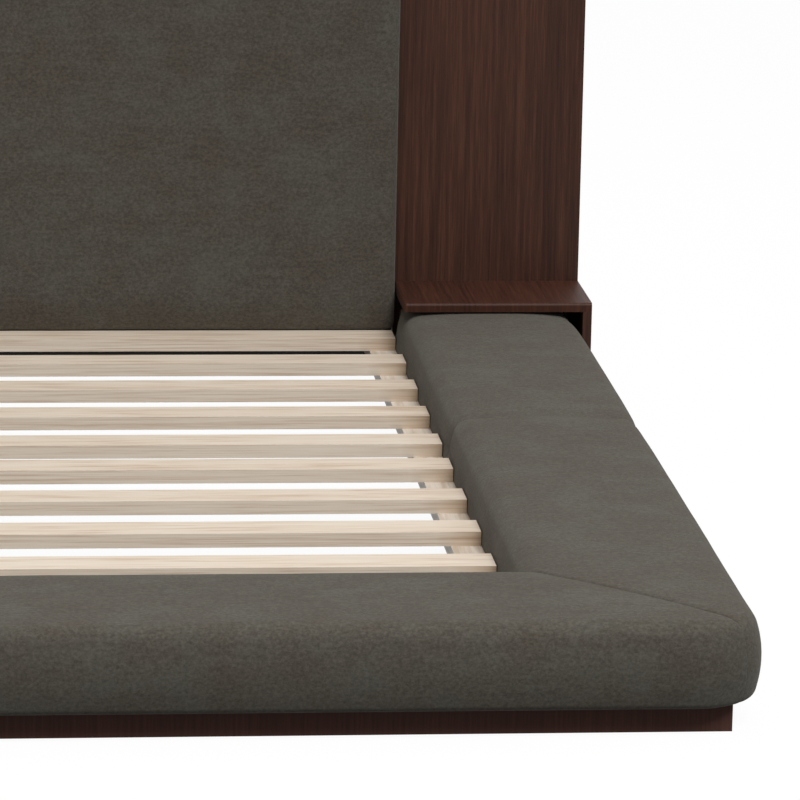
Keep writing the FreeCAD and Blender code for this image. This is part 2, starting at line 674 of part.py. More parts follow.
def make_shelves():
    """The bridge shelves: a top on the wing, and an upright at its outer end that stands on the floor."""
    top = box(SHELF_INNER_X, BED_HALF, SHELF_FRONT_Y, HEAD_Y, SHELF_BOTTOM_Z, SHELF_TOP_Z)

    def on_rounded_edge(edge):
        front = all(abs(v.Y - SHELF_FRONT_Y) < 1e-6 for v in edge.Vertexes)
        inner = all(abs(v.X - SHELF_INNER_X) < 1e-6 for v in edge.Vertexes)
        raised = all(abs(v.Z - SHELF_TOP_Z) < 1e-6 for v in edge.Vertexes)
        return (front and inner) or (raised and (front or inner))

    top = top.makeFillet(SHELF_EDGE_ROUND, [e for e in top.Edges if on_rounded_edge(e)])
    upright = box(SHELF_SIDE_X, BED_HALF, SHELF_FRONT_Y, HEAD_Y, 0, SHELF_BOTTOM_Z)
    x = (SHELF_SIDE_X + BED_HALF) / 2
    ys = (SHELF_FRONT_Y + SHELF_FIXING_INSET, (SHELF_FRONT_Y + HEAD_Y) / 2, HEAD_Y - SHELF_FIXING_INSET)
    low = SHELF_BOTTOM_Z - DOWEL_IN_SIDE
    high = SHELF_BOTTOM_Z + DOWEL_IN_SHELF
    dowels = [rod(DOWEL_RADIUS, V(x, y, low), V(x, y, high)) for y in ys]
    cutters = dowels + [pilot_hole(*s) for s in shelf_screws()]
    export_pair("shelf_top_{side}", cut_all(top, cutters))
    export_pair("shelf_side_{side}", cut_all(upright, cutters))
    export("shelf_dowels", *dowels, *[mirrored(d) for d in dowels])
    right = [screw(*s) for s in shelf_screws()]
    export("shelf_screws", *right, *[mirrored(s) for s in right])


def main():
    """Builds the bed, one node after another."""
    os.makedirs("parts", exist_ok=True)
    make_rail_cushions()
    make_rail_cores()
    make_plinth()
    make_slatted_base()
    make_headboard()
    make_shelves()
    make_fasteners()
    print(f"bed: {2 * BED_HALF:.1f} wide, {BED_LENGTH:.1f} long, {HEADBOARD_HEIGHT:.1f} high")


main()
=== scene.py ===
# %% [markdown]
# # A low floor bed
# The bed is a wide padded surround on a dark plinth, with pale slats inside it and a padded
# headboard between two dark veneered wings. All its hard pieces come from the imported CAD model.
# This script adds what CAD is poor at: soft padding, cloth, wood grain, light and a camera.

# %% Load the bed's frame
import math

import bmesh
import bpy
import numpy as np
from mathutils import Matrix, Vector, noise


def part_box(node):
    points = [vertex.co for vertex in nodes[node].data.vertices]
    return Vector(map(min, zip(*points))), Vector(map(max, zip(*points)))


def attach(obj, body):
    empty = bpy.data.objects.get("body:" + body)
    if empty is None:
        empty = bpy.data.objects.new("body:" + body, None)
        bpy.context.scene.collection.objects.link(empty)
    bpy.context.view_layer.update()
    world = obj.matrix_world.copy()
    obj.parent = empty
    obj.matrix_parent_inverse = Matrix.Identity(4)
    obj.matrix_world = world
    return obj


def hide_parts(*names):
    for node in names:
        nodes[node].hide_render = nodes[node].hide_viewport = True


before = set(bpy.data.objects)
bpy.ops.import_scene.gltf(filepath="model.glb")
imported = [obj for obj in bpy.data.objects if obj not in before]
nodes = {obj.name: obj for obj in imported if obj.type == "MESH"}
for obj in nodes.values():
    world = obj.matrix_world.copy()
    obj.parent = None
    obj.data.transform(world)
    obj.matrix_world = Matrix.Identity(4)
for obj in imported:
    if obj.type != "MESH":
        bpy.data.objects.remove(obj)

scene = bpy.context.scene
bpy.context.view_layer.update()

# %% [markdown]
# ## The camera
# The photograph was taken from far away with a long lens, in front of the bed's foot and about as
# high as a raised hand. A long lens keeps parallel edges almost parallel. The place and the turns
# below were worked out from the slats, whose edges are straight, level and evenly spaced.

# %% Place the camera
CAMERA_PLACE = Vector((-0.0038, -8.507, 2.2623))
CAMERA_YAW = 0.102302
CAMERA_PITCH = -0.230822
CAMERA_ROLL = 0.02003
CAMERA_LENS, SENSOR_WIDTH = 220.09, 36
FAR_CLIP = 300


def turned_axes(yaw, pitch, roll):
    """The camera's right, up and back directions for a turn left or right, up or down, and a roll."""
    ahead = Vector((math.sin(yaw) * math.cos(pitch), math.cos(yaw) * math.cos(pitch), math.sin(pitch)))
    level = ahead.cross(Vector((0, 0, 1))).normalized()
    above = level.cross(ahead)
    right = level * math.cos(roll) + above * math.sin(roll)
    up = above * math.cos(roll) - level * math.sin(roll)
    return right, up, -ahead


camera = bpy.data.objects.new("camera", bpy.data.cameras.new("camera"))
scene.collection.objects.link(camera)
axes = turned_axes(CAMERA_YAW, CAMERA_PITCH, CAMERA_ROLL)
camera.matrix_world = Matrix.Translation(CAMERA_PLACE) @ Matrix(axes).transposed().to_4x4()
camera.data.lens = CAMERA_LENS
camera.data.sensor_width = SENSOR_WIDTH
camera.data.clip_end = FAR_CLIP
scene.camera = camera
print("camera at", tuple(round(c, 3) for c in camera.location))

# %% [markdown]
# ## The white room
# The bed stands on a white floor in front of nothing at all. A white world would also throw white
# light on the bed, so the world shows its full white only to rays that come from the camera or
# from a reflection, and lights the bed with a grey dome that is brightest overhead, like a room
# with a white ceiling. The floor does the same, and throws little light back up, because the
# photograph's hems are dark. A share of plain diffuse white stays in it, which keeps the bed's
# soft shadow.

# %% Build the world and the floor
HORIZON_LIGHT, ZENITH_LIGHT = 0.14, 0.50
FLOOR_SHADOW_SHARE = 0.05
FLOOR_SEEN, FLOOR_BOUNCE = 0.95, 0.10
FLOOR_REACH = 60.0
FLOOR_DROP = 0.001


def worked_out(tree, operation, *values):
    """The result of a Math node whose inputs are sockets or plain numbers."""
    step = tree.nodes.new("ShaderNodeMath")
    step.operation = operation
    for socket, value in zip(step.inputs, values):
        if isinstance(value, float):
            socket.default_value = value
        else:
            tree.links.new(value, socket)
    return step.outputs[0]


def mapped(tree, value, start=0.0, end=1.0, low=0.0, high=1.0):
    """A value moved from the range of start to end into the range of low to high."""
    step = tree.nodes.new("ShaderNodeMapRange")
    for name, limit in (("From Min", start), ("From Max", end), ("To Min", low), ("To Max", high)):
        step.inputs[name].default_value = limit
    tree.links.new(value, step.inputs["Value"])
    return step.outputs["Result"]


def seen_ray(tree):
    """A socket that is 1 for rays which show a surface directly, in a mirror or through glass."""
    path = tree.nodes.new("ShaderNodeLightPath")
    seen = path.outputs["Is Camera Ray"]
    for other in ("Is Glossy Ray", "Is Transmission Ray"):
        seen = worked_out(tree, "MAXIMUM", seen, path.outputs[other])
    return seen


world = bpy.data.worlds.new("white_room")
world.use_nodes = True
scene.world = world
tree = world.node_tree
backdrop = tree.nodes["Background"]
backdrop.inputs["Color"].default_value = (1, 1, 1, 1)
direction = tree.nodes.new("ShaderNodeSeparateXYZ")
tree.links.new(tree.nodes.new("ShaderNodeTexCoord").outputs["Generated"], direction.inputs["Vector"])
dome = mapped(tree, direction.outputs["Z"], low=HORIZON_LIGHT, high=ZENITH_LIGHT)
strength = tree.nodes.new("ShaderNodeMapRange")
tree.links.new(dome, strength.inputs["To Min"])
tree.links.new(seen_ray(tree), strength.inputs["Value"])
tree.links.new(strength.outputs["Result"], backdrop.inputs["Strength"])

white_floor = bpy.data.materials.new("white_floor")
white_floor.use_nodes = True
tree = white_floor.node_tree
tree.nodes.clear()
matte = tree.nodes.new("ShaderNodeBsdfDiffuse")
tint = mapped(tree, seen_ray(tree), low=FLOOR_BOUNCE, high=FLOOR_SEEN)
tree.links.new(tint, matte.inputs["Color"])
glow = tree.nodes.new("ShaderNodeEmission")
glow_share = worked_out(tree, "MULTIPLY", seen_ray(tree), 1 - FLOOR_SHADOW_SHARE)
blend = tree.nodes.new("ShaderNodeMixShader")
tree.links.new(glow_share, blend.inputs["Fac"])
tree.links.new(matte.outputs[0], blend.inputs[1])
tree.links.new(glow.outputs[0], blend.inputs[2])
out = tree.nodes.new("ShaderNodeOutputMaterial")
tree.links.new(blend.outputs[0], out.inputs["Surface"])

floor_mesh = bpy.data.meshes.new("floor")
square = ((-1, -1), (1, -1), (1, 1), (-1, 1))
corners = [(x * FLOOR_REACH, y * FLOOR_REACH, -FLOOR_DROP) for x, y in square]
floor_mesh.from_pydata(corners, [], [(0, 1, 2, 3)])
floor = bpy.data.objects.new("floor", floor_mesh)
floor_mesh.materials.append(white_floor)
scene.collection.objects.link(floor)
print("floor reaches", FLOOR_REACH, "m each way")

# %% [markdown]
# ## Soft studio light
# In the photograph the tops are brightest, the faces towards the camera are a little darker, and
# the faces that look left into the mattress well are darkest. So a broad lamp hangs overhead, a
# second one hangs high at the front right, and nothing shines from the left.

# %% Hang the lamps


def soft_lamp(name, place, aim, size, watts):
    """A square lamp that points from its place to aim."""
    lamp = bpy.data.objects.new(name, bpy.data.lights.new(name, "AREA"))
    lamp.data.size = size
    lamp.data.energy = watts
    lamp.location = place
    lamp.rotation_euler = (Vector(aim) - Vector(place)).to_track_quat("-Z", "Y").to_euler()
    scene.collection.objects.link(lamp)
    print(name, watts, "W")


soft_lamp("overhead_lamp", place=(1.2, 1.4, 6.0), aim=(0.4, 0.8, 0.0), size=5.0, watts=70)
soft_lamp("front_lamp", place=(3.8, -9.0, 11.7), aim=(0.5, 0.0, 0.3), size=6.0, watts=1770)

# %% [markdown]
# ## The section of a padded rail
# Cut across, a rail is a foam wrap over a timber core: nearly flat on top, with round shoulders,
# sides that swell a little, and a hem that turns under. One could pull a cube into that shape by
# hand. Here the outline is written as a chain of arcs, in millimetres, so that it agrees with the
# CAD solid to within a few millimetres: u runs outwards from the mattress well, and z upwards from
# the floor. The core and the slats that the padding has to meet are measured on the CAD model.

# %% Draw the section
RAIL_WIDTH, CROWN_RISE = 365.0, 3.2
SHOULDER_RADIUS, SHOULDER_TURN = 37.0, math.radians(17)
BULGE_Z, BULGE_DEPTH = 106.0, 8.5
SKIRT_Z, SKIRT_DRAW_IN = 62.0, 6.0
HEM_DRAW_IN, HEM_SAG = 27.0, 6.5
CORE_INNER = 20.0
LIP_GAP = 0.3
HUG_WALL_POINTS, HUG_SKIRT_POINTS = 14, 22


def millimetres(metres):
    """A length from the frame, in millimetres to a tenth."""
    return round(metres * 1000, 1)


core_low, core_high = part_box("rail_core_right_front")
CORE_OUTER = CORE_INNER + millimetres(core_high.x - core_low.x)
CORE_TOP_Z, HEM_Z = millimetres(core_high.z), millimetres(core_low.z)
CROWN_Z = millimetres(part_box("rail_cushion_right_front")[1].z)
LIP_Z = millimetres(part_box("slat_01")[0].z) + LIP_GAP


def arc_through(start, middle, end, count):
    """Points on the circle through three points, without the last one."""
    a, b, c = (complex(*p) for p in (start, middle, end))
    turn = (c - a) / (b - a)
    centre = (a - b) * (turn - abs(turn) ** 2) / 2j / turn.imag - a
    first, last = a + centre, c + centre
    sweep = np.angle(last / first)
    if np.sign(sweep) != np.sign(np.angle((b + centre) / first)):
        sweep -= math.copysign(2 * math.pi, sweep)
    points = [first * np.exp(1j * sweep * i / count) - centre for i in range(count)]
    return [(p.real, p.imag) for p in points]


def outer_outline():
    """The padded side of the section, from the lip in the well, over the crown, to the hem."""
    half = RAIL_WIDTH / 2
    centre_u = half - BULGE_DEPTH - SHOULDER_RADIUS * math.cos(SHOULDER_TURN)
    centre_z = CROWN_Z - CROWN_RISE - SHOULDER_RADIUS
    lean = 2 * math.atan2(CROWN_RISE, centre_u)

    def shoulder(angle, side):
        reach = centre_u + SHOULDER_RADIUS * math.cos(angle)
        return half + side * reach, centre_z + SHOULDER_RADIUS * math.sin(angle)

    steep = math.pi / 2 - lean
    middle = (steep + SHOULDER_TURN) / 2
    low_z = shoulder(SHOULDER_TURN, 1)[1]
    lip = (BULGE_DEPTH * ((BULGE_Z - LIP_Z) / (low_z - BULGE_Z)) ** 2, LIP_Z)
    skirt = (RAIL_WIDTH - SKIRT_DRAW_IN, SKIRT_Z)
    hem = (RAIL_WIDTH - HEM_DRAW_IN, HEM_Z)
    away = Vector((skirt[1] - hem[1], hem[0] - skirt[0])).normalized() * HEM_SAG
    tuck = ((skirt[0] + hem[0]) / 2 + away.x, (skirt[1] + hem[1]) / 2 + away.y)
    # Each run goes from a point over a second one to a third, with a number of points
    runs = [
        (lip, (0.0, BULGE_Z), shoulder(SHOULDER_TURN, -1), 8),
        (shoulder(SHOULDER_TURN, -1), shoulder(middle, -1), shoulder(steep, -1), 9),
        (shoulder(steep, -1), (half, CROWN_Z), shoulder(steep, 1), 24),
        (shoulder(steep, 1), shoulder(middle, 1), shoulder(SHOULDER_TURN, 1), 9),
        (shoulder(SHOULDER_TURN, 1), (RAIL_WIDTH, BULGE_Z), skirt, 12),
        (skirt, tuck, hem, 6),
    ]
    return [p for run in runs for p in arc_through(*run)] + [hem]


def inner_outline(outer):
    """The side that hugs the core, with one point for each point of the padded side."""
    top_points = len(outer) - HUG_WALL_POINTS - HUG_SKIRT_POINTS
    steps = np.linspace
    up = [(CORE_INNER, z) for z in steps(LIP_Z, CORE_TOP_Z, HUG_WALL_POINTS, endpoint=False)]
    across = [(u, CORE_TOP_Z) for u in steps(CORE_INNER, CORE_OUTER, top_points, endpoint=False)]
    down = [(CORE_OUTER, z) for z in steps(CORE_TOP_Z, HEM_Z, HUG_SKIRT_POINTS)]
    return up + across + down


outline = np.array(outer_outline())
hug = np.array(inner_outline(outline))
print("section has", len(outline), "padded points; crown at", round(outline[:, 1].max(), 1), "mm")

# %% [markdown]
# ## Rails that turn a mitred corner
# The surround is sewn from straight lengths. Two of them meet at each foot corner in a mitre, the
# slanted seam of a picture frame, and the outer edge goes round the corner in a smooth bend. A
# boolean cut would leave ragged triangles along the seam. Instead every point of the section is
# sent along its own path: straight on, and on the outer part round an arc of 45 degrees, so that
# all the paths end on the slanted seam and the mesh stays a clean grid.

# %% Sweep the section along a rail
WELL_HALF = millimetres(core_low.x) - CORE_INNER
FOOT_Y = millimetres(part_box("rail_core_foot_right")[1].y) + CORE_INNER
SEAM_Y = millimetres(core_high.y)
BEND_RADIUS = 120.0
BEND_START = RAIL_WIDTH - BEND_RADIUS
SEAM_GAP = 0.05
STATION_STEP = 11.0
SEAM_STATIONS = (0.0, 1.2, 2.8, 5.0, 8.0, 12.0, 17.0, 24.0, 33.0)


def along_rail(u, travel, v_start, v_end):
    """Where the path at u is after a share of its length: straight to v_end, or round to the mitre."""
    if v_end is not None:
        return u, v_start + travel * (v_end - v_start)
    straight = min(u, BEND_START) - v_start - SEAM_GAP
    radius = max(u - BEND_START, 0.0)
    run = travel * (straight + radius * math.pi / 4)
    if run <= straight:
        return u, v_start + run
    angle = (run - straight) / radius
    return BEND_START + radius * math.cos(angle), BEND_START + radius * math.sin(angle)


def stations(length):
    """Shares of a rail's length, closer together near both ends."""
    near = np.array(SEAM_STATIONS)
    count = int((length - 2 * near[-1]) / STATION_STEP)
    middle = np.linspace(near[-1], length - near[-1], count + 2)[1:-1]
    return np.concatenate([near, middle, length - near[::-1]]) / length


def side_place(u, v, z):
    """A point of the right side rail, in metres."""
    return (WELL_HALF + u) / 1000, (FOOT_Y - v) / 1000, z / 1000


def foot_place(u, v, z):
    """A point of the right half of the foot rail, in metres."""
    return (WELL_HALF + v) / 1000, (FOOT_Y - u) / 1000, z / 1000


print("half the well is", WELL_HALF, "mm, its foot at", FOOT_Y, "and the side seam at", SEAM_Y)

# %% [markdown]
# ## Where the cover is drawn in
# At a seam the cover is pulled down between the two lengths of foam, so each end rolls off a few
# millimetres: tightly at the mitre, and as a wide sag at a butt seam. Down the outside of the bend
# the photograph shows no seam at all, so there the roll fades away. Under the shelf the outer
# shoulder is pressed down a little. All of this is a dip along the section's normal, which keeps
# the grid of faces as it is.

# %% Build one padded shell
START_INSET = 1.6
SEAM_DIP, SEAM_ROLL = 1.4, 22.0
SEAM_SAG, SEAM_REACH, CROWN_SHARE = 2.4, 110.0, 0.4
MITRE_DIP, MITRE_ROLL = 5.5, 15.0
SEAM_EASE = 60.0
SMOOTH_OUTSIDE, OUTSIDE_FADE = 330.0, 30.0
CALM_NEAR, CALM_REACH = 40.0, 110.0
EDGE_HOLD, SEWN_BELOW = 25.0, 0.3
SHELF_SINK, SHELF_SINK_REACH = 9.0, 55.0
HARD_EDGE = math.radians(50)

SHELF_FRONT_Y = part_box("shelf_top_right")[0].y * 1000
normal = np.gradient(outline, axis=0)
normal = np.stack([-normal[:, 1], normal[:, 0]], axis=1)
normal /= np.linalg.norm(normal, axis=1)[:, None]
distance = np.concatenate([[0.0], np.cumsum(np.linalg.norm(np.diff(outline, axis=0), axis=1))])
from_edge = np.minimum(distance, distance[-1] - distance)
free = np.clip(from_edge / EDGE_HOLD, 0, 1)
on_outside = np.clip((outline[:, 0] - SMOOTH_OUTSIDE) / OUTSIDE_FADE, 0, 1)


def quarter_round(share):
    """A quarter of a circle: 1 at the edge, 0 from a share of 1 on."""
    return 1 - np.sqrt(1 - np.clip(1 - share, 0, 1) ** 2)


def hollow(gap):
    """How far the cover is drawn in near a butt seam: a wide sag, deepest at the shoulders."""
    sag = SEAM_DIP * math.exp(-gap / SEAM_ROLL) + SEAM_SAG * math.exp(-gap / SEAM_REACH)
    from_crown = np.abs(outline[:, 0] * 2 / RAIL_WIDTH - 1)
    return sag * (CROWN_SHARE + (1 - CROWN_SHARE) * from_crown ** 2)


def sunk(y):
    """How far the outer shoulder sinks: in full under the shelf, and less in front of it."""
    ahead = max(0.0, SHELF_FRONT_Y - y)
    outer = np.clip(outline[:, 0] * 2 / RAIL_WIDTH - 1, 0, 1)
    return SHELF_SINK * math.exp(-ahead / SHELF_SINK_REACH) * outer ** 4


def rolled(gap):
    """How far the cover is drawn in near a mitre: a tight roll, so the seam shows as a line."""
    return MITRE_DIP * quarter_round(gap / MITRE_ROLL)


def shell_faces(rings):
    """The faces of a closed shell: a net from ring to ring, and a strip that closes each end."""
    count, ring_size = len(outline), 2 * len(outline)
    loop = list(range(count)) + list(range(ring_size - 1, count - 1, -1))
    faces = []
    for ring in range(rings - 1):
        base, following = ring * ring_size, (ring + 1) * ring_size
        for a, b in zip(loop, loop[1:] + loop[:1]):
            faces.append((base + a, base + b, following + b, following + a))
    for base in (0, (rings - 1) * ring_size):
        for i in range(base, base + count - 1):
            faces.append((i, i + 1, i + 1 + count, i + count))
    return faces


def padded_shell(name, place, v_start, v_end):
    """A closed shell around a length of rail, slightly smaller than the finished padding."""
    mitred = v_end is None
    length = (RAIL_WIDTH / 2 if mitred else v_end) - v_start
    shares = stations(length)
    points, held, calm, ease = [], [], [], []
    for share in shares:
        start_gap, end_gap = share * length, (1 - share) * length
        far = rolled(end_gap) if mitred else hollow(end_gap)
        fade = np.clip(1 - (end_gap - CALM_NEAR) / CALM_REACH, 0, 1) * on_outside * mitred
        dip = free * (hollow(start_gap) + far * (1 - on_outside * mitred) + START_INSET)
        dip += free * sunk(place(0.0, v_start + start_gap, 0.0)[1] * 1000)
        ring = outline - normal * dip[:, None]
        for u, z in (*ring, *hug):
            points.append(place(*along_rail(u, share, v_start, v_end), z))
        at_end = share in (shares[0], shares[-1])
        held += [1.0 if at_end or f <= SEWN_BELOW else 0.0 for f in free] + [1.0] * len(hug)
        calm += list(fade) + [0.0] * len(hug)
        near = min(1.0, min(start_gap, end_gap) / SEAM_EASE)
        ease += list(free * math.sin(near * math.pi / 2)) + [0.0] * len(hug)
    faces = shell_faces(len(shares))
    mesh = bpy.data.meshes.new(name)
    mesh.from_pydata(points, [], faces)
    shell = bpy.data.objects.new(name, mesh)
    scene.collection.objects.link(shell)
    tidy_shell(shell, held)
    print(name, len(points), "points,", len(faces), "faces")
    return {"shell": shell, "calm": np.array(calm), "ease": np.array(ease)}


def tidy_shell(shell, held):
    """Turns all faces outwards, keeps the hard edges hard, and marks what is sewn or glued down."""
    work = bmesh.new()
    work.from_mesh(shell.data)
    bmesh.ops.recalc_face_normals(work, faces=work.faces)
    crease = work.edges.layers.float.new("crease_edge")
    for face in work.faces:
        face.smooth = True
    for edge in work.edges:
        if edge.calc_face_angle(0) > HARD_EDGE:
            edge.smooth = False
            edge[crease] = 1.0
    work.to_mesh(shell.data)
    work.free()
    group = shell.vertex_groups.new(name="sewn_down")
    for weight in sorted(set(held)):
        group.add([i for i, w in enumerate(held) if w == weight], weight, "REPLACE")


HEAD_END = FOOT_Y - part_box("rail_cushion_right_rear")[1].y * 1000
SEAM_V = FOOT_Y - SEAM_Y
pads = {
    "right_rear": padded_shell("rail_pad_right_rear", side_place, HEAD_END, SEAM_V - SEAM_GAP),
    "right_front": padded_shell("rail_pad_right_front", side_place, SEAM_V + SEAM_GAP, None),
    "foot_right": padded_shell("rail_pad_foot_right", foot_place, SEAM_GAP - WELL_HALF, None),
}

# %% [markdown]
# ## The headboard's padding
# The headboard has one big pad with soft round edges. Its form is plain, so here Blender's own
# voxel remesh does the work: it lays an even net of faces over a copy of the CAD solid, which is
# just what cloth needs. The cover is pulled round to the back along the bottom and the sides, so
# those edges roll back, most of all in the bottom corners.

# %% Build the headboard's shell
HEAD_VOXEL = 0.014
HEAD_INSET = 0.003
HEAD_GLUED = 0.012
LOW_ROLL, LOW_ROLL_DEPTH = 0.075, 0.029
SIDE_ROLL, SIDE_ROLL_DEPTH = 0.024, 0.014
SIDE_ROLL_GROWTH, GROWTH_HEIGHT = 0.7, 0.30


def mesh_points(mesh, what="co"):
    """A mesh's points, or its normals, as rows of three numbers."""
    flat = np.zeros(len(mesh.vertices) * 3)
    mesh.vertices.foreach_get(what, flat)
    return flat.reshape(-1, 3)


head_low, head_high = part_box("headboard_cushion")
head_mesh = nodes["headboard_cushion"].data.copy()
head_mesh.materials.clear()
head_shell = bpy.data.objects.new("headboard_pad", head_mesh)
scene.collection.objects.link(head_shell)
bpy.context.view_layer.objects.active = head_shell
head_mesh.remesh_voxel_size = HEAD_VOXEL
head_mesh.remesh_voxel_adaptivity = 0.0
bpy.ops.object.voxel_remesh()
head_mesh = head_shell.data
head_points = mesh_points(head_mesh)
glued = head_points[:, 1] > head_high.y - HEAD_GLUED
head_points[~glued] -= mesh_points(head_mesh, "normal")[~glued] * (0, HEAD_INSET, HEAD_INSET)
from_back = head_high.y - HEAD_GLUED - head_points[:, 1]
front_share = np.clip(from_back / (head_high.y - head_low.y), 0, 1)
height = head_points[:, 2] - head_low.z
growth = 1 + SIDE_ROLL_GROWTH * np.clip(1 - height / GROWTH_HEIGHT, 0, 1)
from_side = head_high.x - np.abs(head_points[:, 0])
low_roll = LOW_ROLL_DEPTH * np.clip(1 - height / LOW_ROLL, 0, 1) ** 2
side_roll = SIDE_ROLL_DEPTH * growth * quarter_round(from_side / SIDE_ROLL / growth)
head_points[:, 1] += front_share * np.hypot(low_roll, side_roll)
head_mesh.vertices.foreach_set("co", head_points.ravel())
head_held = glued.astype(float)
tidy_shell(head_shell, head_held)
pads["head"] = {"shell": head_shell, "calm": 0 * head_held, "ease": 1 - head_held}
print("headboard pad has", len(head_held), "points")

# %% [markdown]
# ## Letting the cloth swell
# Real padding pushes against its cover until the cover is taut. Blender's Cloth does that with
# pressure in a closed mesh: the hem, the seams and the core side are pinned, gravity is off, and
# twenty frames are enough. How far a point may move is capped, because foam in a cover never
# blows up like a balloon.

# %% Simulate the padding
PRESSURE = 4.0
LAST_FRAME = 20


def make_cloth(shell):
    """Cover cloth that is pinned where it is sewn down."""
    cloth = shell.modifiers.new("cover", "CLOTH")
    cloth.settings.quality = 5
    cloth.settings.mass = 0.35
    cloth.settings.tension_stiffness = 20
    cloth.settings.compression_stiffness = 20
    cloth.settings.shear_stiffness = 8
    cloth.settings.bending_stiffness = 2
    cloth.settings.use_pressure = True
    cloth.settings.uniform_pressure_force = PRESSURE
    cloth.settings.vertex_group_mass = "sewn_down"
    cloth.settings.effector_weights.gravity = 0
    cloth.collision_settings.use_collision = False
    cloth.point_cache.frame_end = LAST_FRAME


swollen = {}
for pad in pads.values():
    make_cloth(pad["shell"])
scene.frame_start, scene.frame_end = 1, LAST_FRAME
for frame_number in range(1, LAST_FRAME + 1):
    scene.frame_set(frame_number)
depsgraph = bpy.context.evaluated_depsgraph_get()
for key, pad in pads.items():
    settled = pad["shell"].evaluated_get(depsgraph).to_mesh()
    swollen[key] = mesh_points(settled) - mesh_points(pad["shell"].data)
    pad["shell"].evaluated_get(depsgraph).to_mesh_clear()
    pad["shell"].modifiers.clear()
    most = 1000 * np.linalg.norm(swollen[key], axis=1).max()
    print(key, "swells by up to", round(most, 1), "mm")

# %% [markdown]
# The swelling is now added to the shells, softly limited. Hands and knees leave a padded rail a
# little uneven, so a slow ripple of half a millimetre goes on top. Every pad stays inside the box
# of the CAD solid that it stands for.

# %% Shape the pads
SWELL_SPREAD = 0.0006
SWELL_SCALE = 0.004
FULLY_FREE = 0.99
RIPPLE, RIPPLE_SIZE = 0.0006, 0.11


def settle(pad, swell, low, high, inset):
    """Moves a shell's points outwards by its limited swelling, inside the CAD solid's box."""
    mesh = pad["shell"].data
    rest, outwards = mesh_points(mesh), mesh_points(mesh, "normal")
    calm, ease = pad["calm"], pad["ease"]
    push = np.full(len(rest), inset)
    if swell is not None:
        swell = np.sum(swell * outwards, axis=1)
        push += SWELL_SPREAD * np.tanh((swell - swell[ease > FULLY_FREE].mean()) / SWELL_SCALE)
    push += RIPPLE * np.array([noise.noise(Vector(p) / RIPPLE_SIZE) for p in rest])
    push = ease * push * (1 - calm) + inset * calm
    points = np.clip(rest + outwards * push[:, None], np.array(low), np.array(high))
    mesh.vertices.foreach_set("co", points.ravel())
    mesh.update()


for key, pad in pads.items():
    node = "headboard_cushion" if key == "head" else "rail_cushion_" + key
    inset = HEAD_INSET if key == "head" else START_INSET / 1000
    settle(pad, swollen.get(key), *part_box(node), inset)
    print(key, "fills", node)

# %% [markdown]
# ## Left twins, and what carries the pads
# The left half of the bed mirrors the right half. A mirrored copy of a mesh has its faces inside
# out, so they are flipped. Each pad then takes the place of its CAD solid, which is hidden, and
# rides on the root body, and one level of subdivision rounds the net of faces.

# %% Finish the pads


def finish_pad(shell, node):
    """Makes a shell the visible stand-in of its CAD cushion."""
    rounding = shell.modifiers.new("rounding", "SUBSURF")
    rounding.levels = rounding.render_levels = 1
    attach(shell, "root")
    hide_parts(node)


def left_twin(shell, name):
    """A mirrored copy on the bed's left side."""
    mesh = shell.data.copy()
    mesh.transform(Matrix.Scale(-1, 4, Vector((1, 0, 0))))
    mesh.flip_normals()
    twin = bpy.data.objects.new(name, mesh)
    scene.collection.objects.link(twin)
    return twin


soft_pieces = []
for key in ("right_rear", "right_front", "foot_right"):
    shell = pads[key]["shell"]
    twin_key = key.replace("right", "left")
    twin = left_twin(shell, "rail_pad_" + twin_key)
    finish_pad(shell, "rail_cushion_" + key)
    finish_pad(twin, "rail_cushion_" + twin_key)
    soft_pieces += [shell, twin]
finish_pad(head_shell, "headboard_cushion")
soft_pieces.append(head_shell)
print(len(soft_pieces), "padded pieces")

# %% [markdown]
# ## Brushed suede cloth
# The cover is a dark olive-grey cloth with a short brushed nap. Seen close, it is mottled, with
# faint streaks where the nap lies this way and that. An image of cloth would need unwrapping.
# Noise in the bed's own space needs none, and fits every pad. Sheen gives the soft light edge
# that brushed cloth has.

# %% Make the suede
PATCH_CELLS, MOTTLE_CELLS = (9, 12, 12), (150, 190, 190)
STREAK_CELLS, FIBRE_CELLS = (14, 120, 120), (700, 900, 900)
SUEDE_STOPS = 0.40, 0.50, 0.60
SUEDE_BROWN = (0.058, 0.047, 0.037), (0.081, 0.068, 0.054), (0.109, 0.093, 0.076)
SUEDE_OLIVE = (0.051, 0.048, 0.038), (0.073, 0.069, 0.056), (0.099, 0.095, 0.078)
HUE_RANGE, OLIVE_SHARES = (0.40, 0.60), (0.2, 0.9)


def texture_space(tree, stretch):
    """Coordinates in the bed's own space, in metres, scaled by stretch."""
    place = tree.nodes.new("ShaderNodeTexCoord")
    scaled = tree.nodes.new("ShaderNodeMapping")
    scaled.inputs["Scale"].default_value = stretch
    tree.links.new(place.outputs["Object"], scaled.inputs["Vector"])
    return scaled.outputs["Vector"]


def noise_layer(tree, stretch, detail=4.0, roughness=0.6, distortion=0.0):
    """A noise with stretch cells to the metre in each direction."""
    layer = tree.nodes.new("ShaderNodeTexNoise")
    layer.inputs["Scale"].default_value = 1.0
    layer.inputs["Detail"].default_value = detail
    layer.inputs["Roughness"].default_value = roughness
    layer.inputs["Distortion"].default_value = distortion
    tree.links.new(texture_space(tree, stretch), layer.inputs["Vector"])
    return layer.outputs["Fac"]


def mixed(tree, first, second, share):
    """A blend of two values, share of the second."""
    mix = tree.nodes.new("ShaderNodeMix")
    mix.inputs["Factor"].default_value = share
    tree.links.new(first, mix.inputs["A"])
    tree.links.new(second, mix.inputs["B"])
    return mix.outputs["Result"]


